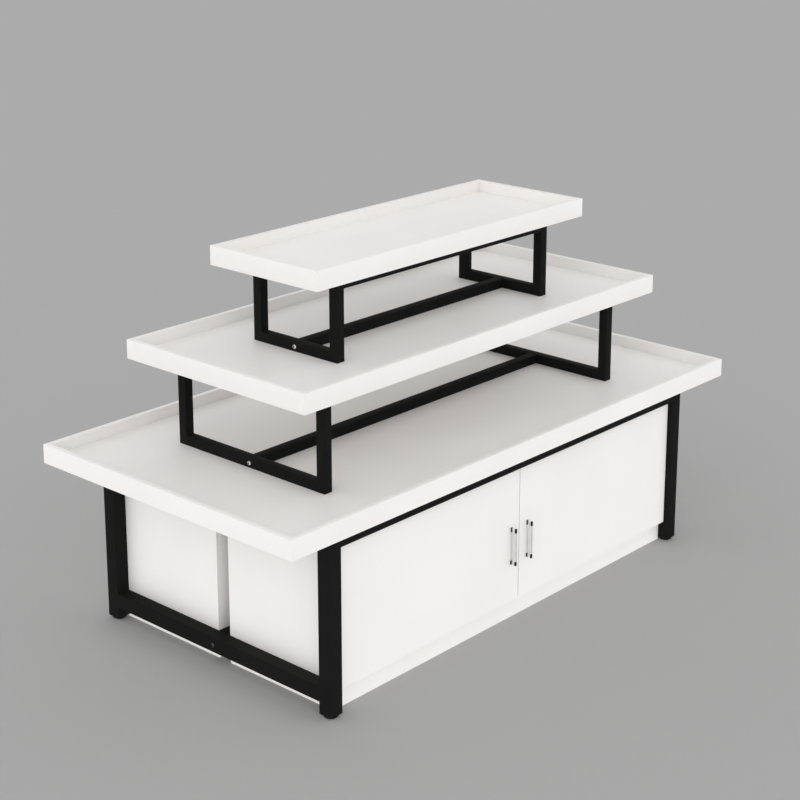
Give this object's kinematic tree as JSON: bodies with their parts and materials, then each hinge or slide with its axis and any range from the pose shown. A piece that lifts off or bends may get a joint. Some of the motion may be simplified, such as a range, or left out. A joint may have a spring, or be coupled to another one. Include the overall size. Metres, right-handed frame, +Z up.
{
  "type": "tiered display table",
  "caption": "Stepped display table with white rimmed trays on black tube frames; the upper tiers lift off and the base holds back-to-back cupboards with hinged doors.",
  "frame": {"origin": "on the floor, at the middle of the table's plan", "axes": "+Z up, +X along the table's length to the right as seen from the front, -Y towards the front doors"},
  "size_m": [1.78, 0.91, 1.035],
  "materials": {
    "white_board": "white satin lacquer on board",
    "black_steel": "matt black powder coat",
    "screw_steel": "zinc-plated, bright",
    "hinge_steel": "nickel-plated, satin",
    "satin_aluminium": "satin anodised",
    "black_plastic": "matt black"
  },
  "bodies": {
    "base": {"bottom_tray_floor": "white_board", "bottom_tray_rim": "white_board", "bottom_stretcher": "black_steel", "bottom_end_frame_left": "black_steel", "bottom_end_frame_right": "black_steel", "bottom_long_rail_front": "black_steel", "bottom_long_rail_back": "black_steel", "bottom_screw_left": "screw_steel", "bottom_screw_right": "screw_steel", "cupboard_front_side_left": "white_board", "cupboard_front_side_right": "white_board", "cupboard_front_bottom": "white_board", "cupboard_front_top": "white_board", "cupboard_front_back": "white_board", "cupboard_front_kick": "white_board", "cupboard_back_side_left": "white_board", "cupboard_back_side_right": "white_board", "cupboard_back_bottom": "white_board", "cupboard_back_top": "white_board", "cupboard_back_back": "white_board", "cupboard_back_kick": "white_board", "hinge_front_left_lower": "hinge_steel", "hinge_front_left_upper": "hinge_steel", "hinge_front_right_lower": "hinge_steel", "hinge_front_right_upper": "hinge_steel", "hinge_back_left_lower": "hinge_steel", "hinge_back_left_upper": "hinge_steel", "hinge_back_right_lower": "hinge_steel", "hinge_back_right_upper": "hinge_steel"},
    "middle_tier": {"middle_tray_floor": "white_board", "middle_tray_rim": "white_board", "middle_stretcher": "black_steel", "middle_end_frame_left": "black_steel", "middle_end_frame_right": "black_steel", "middle_long_rail_front": "black_steel", "middle_long_rail_back": "black_steel", "middle_screw_left": "screw_steel", "middle_screw_right": "screw_steel"},
    "top_tier": {"top_tray_floor": "white_board", "top_tray_rim": "white_board", "top_stretcher": "black_steel", "top_end_frame_left": "black_steel", "top_end_frame_right": "black_steel", "top_long_rail_front": "black_steel", "top_long_rail_back": "black_steel", "top_screw_left": "screw_steel", "top_screw_right": "screw_steel"},
    "front_left_door": {"door_front_left": "white_board", "pull_front_left": "satin_aluminium"},
    "front_right_door": {"door_front_right": "white_board", "pull_front_right": "satin_aluminium"},
    "back_left_door": {"door_back_left": "white_board", "pull_back_left": "satin_aluminium"},
    "back_right_door": {"door_back_right": "white_board", "pull_back_right": "satin_aluminium"},
    "front_left_foot": {"foot_front_left": "black_plastic"},
    "front_right_foot": {"foot_front_right": "black_plastic"},
    "back_left_foot": {"foot_back_left": "black_plastic"},
    "back_right_foot": {"foot_back_right": "black_plastic"}
  },
  "joints": [
    {"name": "front_left_door_hinge", "type": "hinge", "parent": "base", "child": "front_left_door", "pos_m": [-0.688, -0.4045, 0.247], "axis": [0, 0, -1], "range_deg": [0, 95]},
    {"name": "front_right_door_hinge", "type": "hinge", "parent": "base", "child": "front_right_door", "pos_m": [0.688, -0.4045, 0.247], "axis": [0, 0, 1], "range_deg": [0, 95]},
    {"name": "back_left_door_hinge", "type": "hinge", "parent": "base", "child": "back_left_door", "pos_m": [-0.688, 0.4045, 0.247], "axis": [0, 0, 1], "range_deg": [0, 95]},
    {"name": "back_right_door_hinge", "type": "hinge", "parent": "base", "child": "back_right_door", "pos_m": [0.688, 0.4045, 0.247], "axis": [0, 0, -1], "range_deg": [0, 95]},
    {"name": "middle_tier_lift", "type": "slide", "parent": "base", "child": "middle_tier", "axis": [0, 0, 1], "range_m": [0, 0.06]},
    {"name": "top_tier_lift", "type": "slide", "parent": "middle_tier", "child": "top_tier", "axis": [0, 0, 1], "range_m": [0, 0.06]},
    {"name": "front_left_foot_screw", "type": "slide", "parent": "base", "child": "front_left_foot", "axis": [0, 0, 1], "range_m": [-0.015, 0]},
    {"name": "front_right_foot_screw", "type": "slide", "parent": "base", "child": "front_right_foot", "axis": [0, 0, 1], "range_m": [-0.015, 0]},
    {"name": "back_left_foot_screw", "type": "slide", "parent": "base", "child": "back_left_foot", "axis": [0, 0, 1], "range_m": [-0.015, 0]},
    {"name": "back_right_foot_screw", "type": "slide", "parent": "base", "child": "back_right_foot", "axis": [0, 0, 1], "range_m": [-0.015, 0]}
  ]
}
